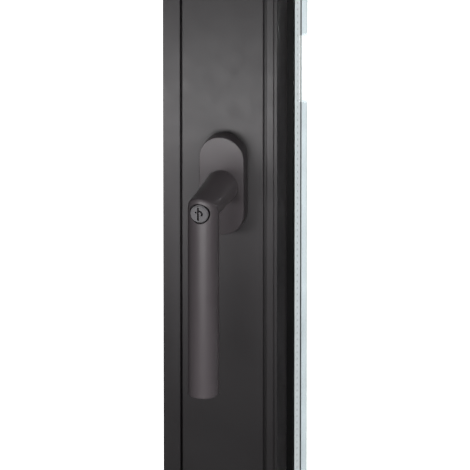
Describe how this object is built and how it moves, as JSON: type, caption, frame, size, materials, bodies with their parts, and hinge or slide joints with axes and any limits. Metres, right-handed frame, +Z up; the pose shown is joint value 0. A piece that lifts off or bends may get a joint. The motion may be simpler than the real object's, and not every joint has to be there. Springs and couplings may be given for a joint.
{
  "type": "window sash with handle",
  "caption": "Tilt-and-turn window sash in coated aluminium with triple glazing, a lockable L-shaped handle on an oval rosette, and its espagnolette.",
  "frame": {"origin": "middle of the lower hinge barrel, on the hinge axis", "axes": "+X from the handle side to the hinge side, +Y from the room to the outside, +Z up"},
  "size_m": [0.6603, 0.1388, 0.94],
  "materials": {
    "profile_inside": "matt powder coat, anthracite",
    "profile_outside": "matt powder coat, anthracite",
    "bead": "matt powder coat, anthracite",
    "thermal_break": "glass-filled polyamide",
    "cleat": "mill finish",
    "gasket": "matt black",
    "glass": "clear",
    "spacer_inner": "satin",
    "spacer_outer": "satin, pale",
    "edge_seal": "matt black",
    "setting_block": "moulded",
    "rosette": "matt powder coat, umber grey",
    "handle": "matt powder coat, umber grey",
    "zinc_casting": "as cast",
    "bright_steel": "bright",
    "zinc_plated_steel": "silver zinc plating",
    "screw": "zinc plated",
    "cam": "satin",
    "lock_metal": "satin",
    "hinge": "matt, anthracite",
    "hinge_cap": "moulded, anthracite"
  },
  "bodies": {
    "sash": {"stile_handle_inner": "profile_inside", "stile_hinge_inner": "profile_inside", "rail_top_inner": "profile_inside", "rail_bottom_inner": "profile_inside", "stile_handle_outer": "profile_outside", "stile_hinge_outer": "profile_outside", "rail_top_outer": "profile_outside", "rail_bottom_outer": "profile_outside", "glazing_bead_left": "bead", "glazing_bead_right": "bead", "glazing_bead_top": "bead", "glazing_bead_bottom": "bead", "thermal_break_left": "thermal_break", "thermal_break_right": "thermal_break", "thermal_break_top": "thermal_break", "thermal_break_bottom": "thermal_break", "corner_cleats_inner": "cleat", "corner_cleats_outer": "cleat", "gasket_inner": "gasket", "gasket_outer": "gasket", "overlap_seal": "gasket", "centre_seal": "gasket", "pane_inner": "glass", "pane_middle": "glass", "pane_outer": "glass", "spacer_inner": "spacer_inner", "spacer_outer": "spacer_outer", "edge_seals": "edge_seal", "setting_blocks": "setting_block", "rosette_cover": "rosette", "base_plate": "zinc_casting", "gearbox_cover": "zinc_casting", "gearbox_case": "zinc_casting", "detent_balls": "bright_steel", "detent_springs": "bright_steel", "faceplate_left": "zinc_plated_steel", "faceplate_top": "zinc_plated_steel", "corner_drive": "zinc_plated_steel", "stay_guide": "zinc_plated_steel", "rosette_screws": "screw", "plate_screws": "screw", "stay_screws": "screw", "hinge_screws": "screw", "hinge_lower": "hinge", "hinge_cap_lower": "hinge_cap"},
    "handle": {"handle_body": "handle", "spindle": "bright_steel", "retaining_ring": "bright_steel", "lock_housing": "lock_metal", "drive_pinion": "zinc_casting"},
    "key_plug": {"key_plug": "lock_metal"},
    "lock_bolt": {"lock_bolt": "bright_steel"},
    "drive_rod": {"drive_rod": "zinc_plated_steel", "drive_rack": "zinc_plated_steel", "locking_cams": "cam"},
    "top_drive_rod": {"top_drive_rod": "zinc_plated_steel", "top_cam": "cam"},
    "stay_arm": {"stay_arm": "hinge", "hinge_cap_upper": "hinge_cap"}
  },
  "joints": [
    {"name": "handle_turn", "type": "hinge", "parent": "sash", "child": "handle", "pos_m": [-0.6063, 0.008, 0.4107], "axis": [0, -1, 0], "range_deg": [0, 180]},
    {"name": "key_turn", "type": "hinge", "parent": "handle", "child": "key_plug", "pos_m": [-0.6063, -0.0445, 0.4107], "axis": [0, -1, 0], "range_deg": [0, 90]},
    {"name": "lock_bolt_slide", "type": "slide", "parent": "handle", "child": "lock_bolt", "axis": [0, 1, 0], "range_m": [0, 0.0025]},
    {"name": "drive_rod_slide", "type": "slide", "parent": "sash", "child": "drive_rod", "axis": [0, 0, -1], "range_m": [0, 0.036]},
    {"name": "top_rod_slide", "type": "slide", "parent": "sash", "child": "top_drive_rod", "axis": [-1, 0, 0], "range_m": [0, 0.036]},
    {"name": "stay_swing", "type": "hinge", "parent": "sash", "child": "stay_arm", "pos_m": [-0.33, 0.0284, 0.8627], "axis": [0, 0, 1], "range_deg": [0, 12]}
  ],
  "couplings": [
    {"joint": "drive_rod_slide", "follows": "handle_turn", "m_per_rad": 0.011459},
    {"joint": "top_rod_slide", "follows": "handle_turn", "m_per_rad": 0.011459},
    {"joint": "key_turn", "follows": "lock_bolt_slide", "rad_per_m": 628.32}
  ]
}
